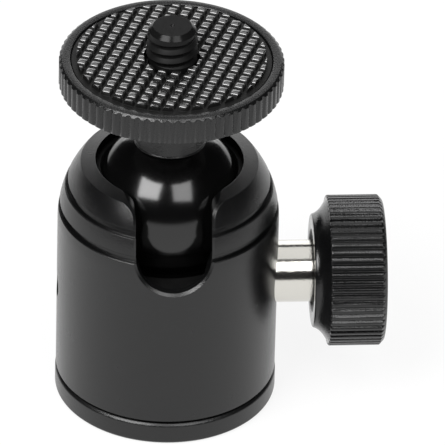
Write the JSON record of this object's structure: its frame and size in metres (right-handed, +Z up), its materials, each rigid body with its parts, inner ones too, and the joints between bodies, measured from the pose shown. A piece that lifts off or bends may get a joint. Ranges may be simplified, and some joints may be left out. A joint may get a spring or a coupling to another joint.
{
  "type": "tripod ball head",
  "caption": "Compact ball head with a drop slot, a knurled lock knob on the side, and a round knurled platform with a rubber pad and a camera stud.",
  "frame": {"origin": "centre of the base face, on the axis of the threaded tripod socket", "axes": "+Z up along the upright axis and out of the camera stud, -Y through the drop slot, +X along the lock knob's axis"},
  "size_m": [0.0409, 0.0278, 0.0532],
  "materials": {
    "body_black": "fine-blasted black anodised",
    "foot_black": "turned black anodised",
    "ball_black": "polished gloss black",
    "disc_black": "turned black anodised",
    "stud_black": "black oxide, bright",
    "nickel": "nickel plated, bright",
    "pad_rubber": "matte moulded rubber",
    "acetal": "black acetal",
    "steel": "turned steel",
    "dark_steel": "black oxide",
    "brass": "turned brass",
    "spring_steel": "drawn wire"
  },
  "bodies": {
    "housing": {"housing": "body_black", "base_cap": "foot_black", "tripod_bush": "steel", "cap_set_screw": "dark_steel", "guide_ring": "brass", "ring_set_screw": "dark_steel", "lock_bush": "nickel", "upper_seat": "acetal", "drag_spring": "spring_steel"},
    "wedge": {"wedge_plunger": "steel"},
    "knob": {"knob": "disc_black", "clamp_screw": "steel", "stop_ring": "spring_steel", "knob_screw": "dark_steel"},
    "lift_ring": {"lift_ring": "dark_steel"},
    "lower_seat": {"lower_seat": "acetal"},
    "ball": {"ball": "ball_black", "ball_stem": "steel"},
    "platform": {"platform": "disc_black", "hub_set_screw": "dark_steel", "grip_pad": "pad_rubber", "camera_stud": "stud_black"}
  },
  "joints": [
    {"name": "wedge_slide", "type": "slide", "parent": "housing", "child": "wedge", "axis": [1, 0, 0], "range_m": [-0.0000444, 0.000444]},
    {"name": "knob_turn", "type": "hinge", "parent": "wedge", "child": "knob", "pos_m": [0, 0, 0.0165], "axis": [1, 0, 0], "range_deg": [-22, 202]},
    {"name": "seat_lift", "type": "slide", "parent": "housing", "child": "lift_ring", "axis": [0, 0, 1], "range_m": [-0.000275, 0.00003], "deforming": ["drag_spring"]},
    {"name": "lean", "type": "hinge", "parent": "lift_ring", "child": "lower_seat", "pos_m": [0, 0, 0.0273], "axis": [0, 1, 0], "range_deg": [-22, 22]},
    {"name": "tilt", "type": "hinge", "parent": "lower_seat", "child": "ball", "pos_m": [0, 0, 0.0273], "axis": [1, 0, 0], "range_deg": [-20, 90]},
    {"name": "spin", "type": "hinge", "parent": "ball", "child": "platform", "pos_m": [0, 0, 0.0273], "axis": [0, 0, 1], "continuous": true}
  ],
  "couplings": [
    {"joint": "knob_turn", "follows": "wedge_slide", "rad_per_m": 7854},
    {"joint": "seat_lift", "follows": "wedge_slide", "ratio": -0.57735}
  ]
}
